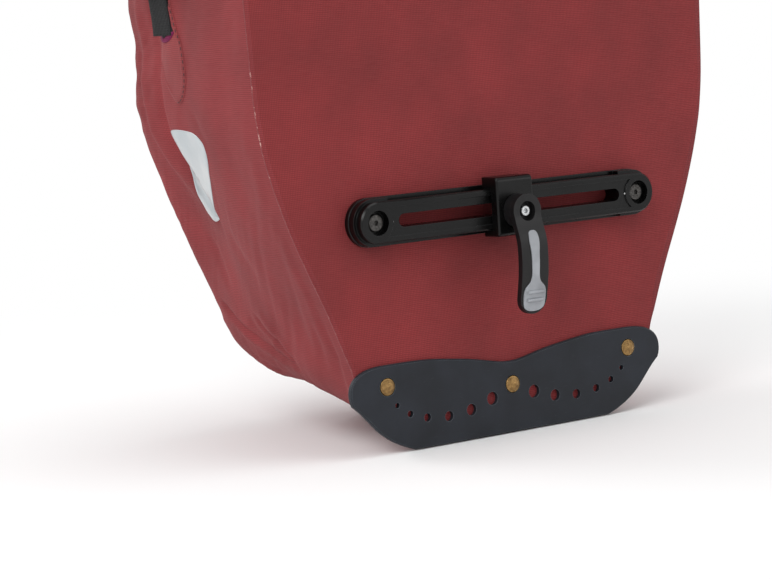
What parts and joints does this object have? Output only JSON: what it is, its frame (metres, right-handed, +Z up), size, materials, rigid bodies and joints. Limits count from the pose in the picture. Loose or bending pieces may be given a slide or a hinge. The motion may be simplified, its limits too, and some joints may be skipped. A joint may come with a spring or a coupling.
{
  "type": "pannier bag",
  "caption": "Roll-top bicycle pannier bag with rail-mounted rack hooks, latch-release handle, anti-sway fin, edge protector and side buckles.",
  "frame": {"origin": "centre of the flat strip on the underside of the floor that the bag rests on", "axes": "+Z up, +X along the bag's width, -Y towards the rack side with the hooks, +Y towards the outer front"},
  "size_m": [0.345, 0.2194, 0.3965],
  "materials": {
    "shell_fabric": "matt coated canvas",
    "lining_fabric": "matt",
    "webbing": "woven",
    "reflective_film": "satin",
    "protector_plastic": "matt",
    "aged_brass": "worn",
    "black_plastic": "fine grain",
    "insert_plastic": "fine grain",
    "grey_plastic": "satin",
    "board_plastic": "matt",
    "grip_rubber": "soft matt",
    "steel": "zinc plated",
    "buckle_plastic": "semi-gloss"
  },
  "bodies": {
    "bag": {"back_panel": "shell_fabric", "bottom_panel": "shell_fabric", "closure_strip": "board_plastic", "edge_protector": "protector_plastic", "front_panel": "shell_fabric", "inner_pocket": "lining_fabric", "left_buckle_socket": "buckle_plastic", "left_gusset": "shell_fabric", "left_reflector": "reflective_film", "left_roll_tab": "webbing", "left_side_strap": "webbing", "left_strap_anchor": "shell_fabric", "lower_rail": "black_plastic", "lower_rail_screws": "steel", "protector_rivets": "aged_brass", "rail_nuts": "steel", "right_buckle_socket": "buckle_plastic", "right_gusset": "shell_fabric", "right_reflector": "reflective_film", "right_roll_tab": "webbing", "right_side_strap": "webbing", "right_strap_anchor": "shell_fabric", "rivet_washers": "aged_brass", "roll_top": "shell_fabric", "stiffener_board": "board_plastic", "top_collar": "shell_fabric", "upper_rail": "black_plastic", "upper_rail_screws": "steel"},
    "lower_shoe": {"hook_shoe": "black_plastic", "fin_nut": "steel", "fin_screw": "steel"},
    "sway_fin": {"anti_sway_fin": "black_plastic", "fin_inlay": "grey_plastic"},
    "handle": {"handle_grip": "grip_rubber"},
    "left_hook_unit": {"left_hook": "black_plastic", "left_hook_insert": "insert_plastic", "left_latch_pin": "steel", "left_latch_spring": "steel"},
    "left_latch_lever": {"left_latch": "black_plastic"},
    "left_handle_webbing": {"left_handle_strap": "webbing"},
    "left_plug": {"left_buckle_plug": "buckle_plastic"},
    "left_rear_prong": {"left_prong_rear": "buckle_plastic"},
    "left_front_prong": {"left_prong_front": "buckle_plastic"},
    "right_hook_unit": {"right_hook": "black_plastic", "right_hook_insert": "insert_plastic", "right_latch_pin": "steel", "right_latch_spring": "steel"},
    "right_latch_lever": {"right_latch": "black_plastic"},
    "right_handle_webbing": {"right_handle_strap": "webbing"},
    "right_plug": {"right_buckle_plug": "buckle_plastic"},
    "right_rear_prong": {"right_prong_rear": "buckle_plastic"},
    "right_front_prong": {"right_prong_front": "buckle_plastic"}
  },
  "joints": [
    {"name": "shoe_slide", "type": "slide", "parent": "bag", "child": "lower_shoe", "axis": [1, 0, 0], "range_m": [-0.058, 0.063]},
    {"name": "fin_turn", "type": "hinge", "parent": "lower_shoe", "child": "sway_fin", "pos_m": [-0.0022, -0.105, 0.122], "axis": [0, 1, 0], "continuous": true},
    {"name": "handle_lift", "type": "slide", "parent": "bag", "child": "handle", "axis": [0, 0, 1], "range_m": [0, 0.011]},
    {"name": "left_hook_slide", "type": "slide", "parent": "bag", "child": "left_hook_unit", "axis": [1, 0, 0], "range_m": [-0.02, 0.004]},
    {"name": "left_latch_turn", "type": "hinge", "parent": "left_hook_unit", "child": "left_latch_lever", "pos_m": [-0.075, -0.1066, 0.3114], "axis": [1, 0, 0], "range_deg": [0, 72]},
    {"name": "left_webbing_lift", "type": "slide", "parent": "left_hook_unit", "child": "left_handle_webbing", "axis": [0, 0, 1], "range_m": [0, 0.011]},
    {"name": "left_plug_release", "type": "slide", "parent": "bag", "child": "left_plug", "axis": [0, 0, -1], "range_m": [0, 0.022], "stiffness_N_per_m": 60},
    {"name": "left_front_prong_squeeze", "type": "hinge", "parent": "left_plug", "child": "left_front_prong", "pos_m": [-0.1642, 0.0104, 0.2958], "axis": [1, 0, 0], "range_deg": [0, 7]},
    {"name": "left_rear_prong_squeeze", "type": "hinge", "parent": "left_plug", "child": "left_rear_prong", "pos_m": [-0.1642, -0.0044, 0.2958], "axis": [-1, 0, 0], "range_deg": [0, 7]},
    {"name": "right_hook_slide", "type": "slide", "parent": "bag", "child": "right_hook_unit", "axis": [1, 0, 0], "range_m": [-0.004, 0.02]},
    {"name": "right_latch_turn", "type": "hinge", "parent": "right_hook_unit", "child": "right_latch_lever", "pos_m": [0.075, -0.1066, 0.3114], "axis": [1, 0, 0], "range_deg": [0, 72]},
    {"name": "right_webbing_lift", "type": "slide", "parent": "right_hook_unit", "child": "right_handle_webbing", "axis": [0, 0, 1], "range_m": [0, 0.011]},
    {"name": "right_plug_release", "type": "slide", "parent": "bag", "child": "right_plug", "axis": [0, 0, -1], "range_m": [0, 0.022], "stiffness_N_per_m": 60},
    {"name": "right_front_prong_squeeze", "type": "hinge", "parent": "right_plug", "child": "right_front_prong", "pos_m": [0.1642, 0.0104, 0.2958], "axis": [1, 0, 0], "range_deg": [0, 7]},
    {"name": "right_rear_prong_squeeze", "type": "hinge", "parent": "right_plug", "child": "right_rear_prong", "pos_m": [0.1642, -0.0044, 0.2958], "axis": [-1, 0, 0], "range_deg": [0, 7]}
  ],
  "couplings": [
    {"joint": "left_latch_turn", "follows": "handle_lift", "rad_per_m": 107.89},
    {"joint": "left_webbing_lift", "follows": "handle_lift", "ratio": 1},
    {"joint": "left_rear_prong_squeeze", "follows": "left_front_prong_squeeze", "ratio": 1},
    {"joint": "right_latch_turn", "follows": "handle_lift", "rad_per_m": 107.89},
    {"joint": "right_webbing_lift", "follows": "handle_lift", "ratio": 1},
    {"joint": "right_rear_prong_squeeze", "follows": "right_front_prong_squeeze", "ratio": 1}
  ]
}
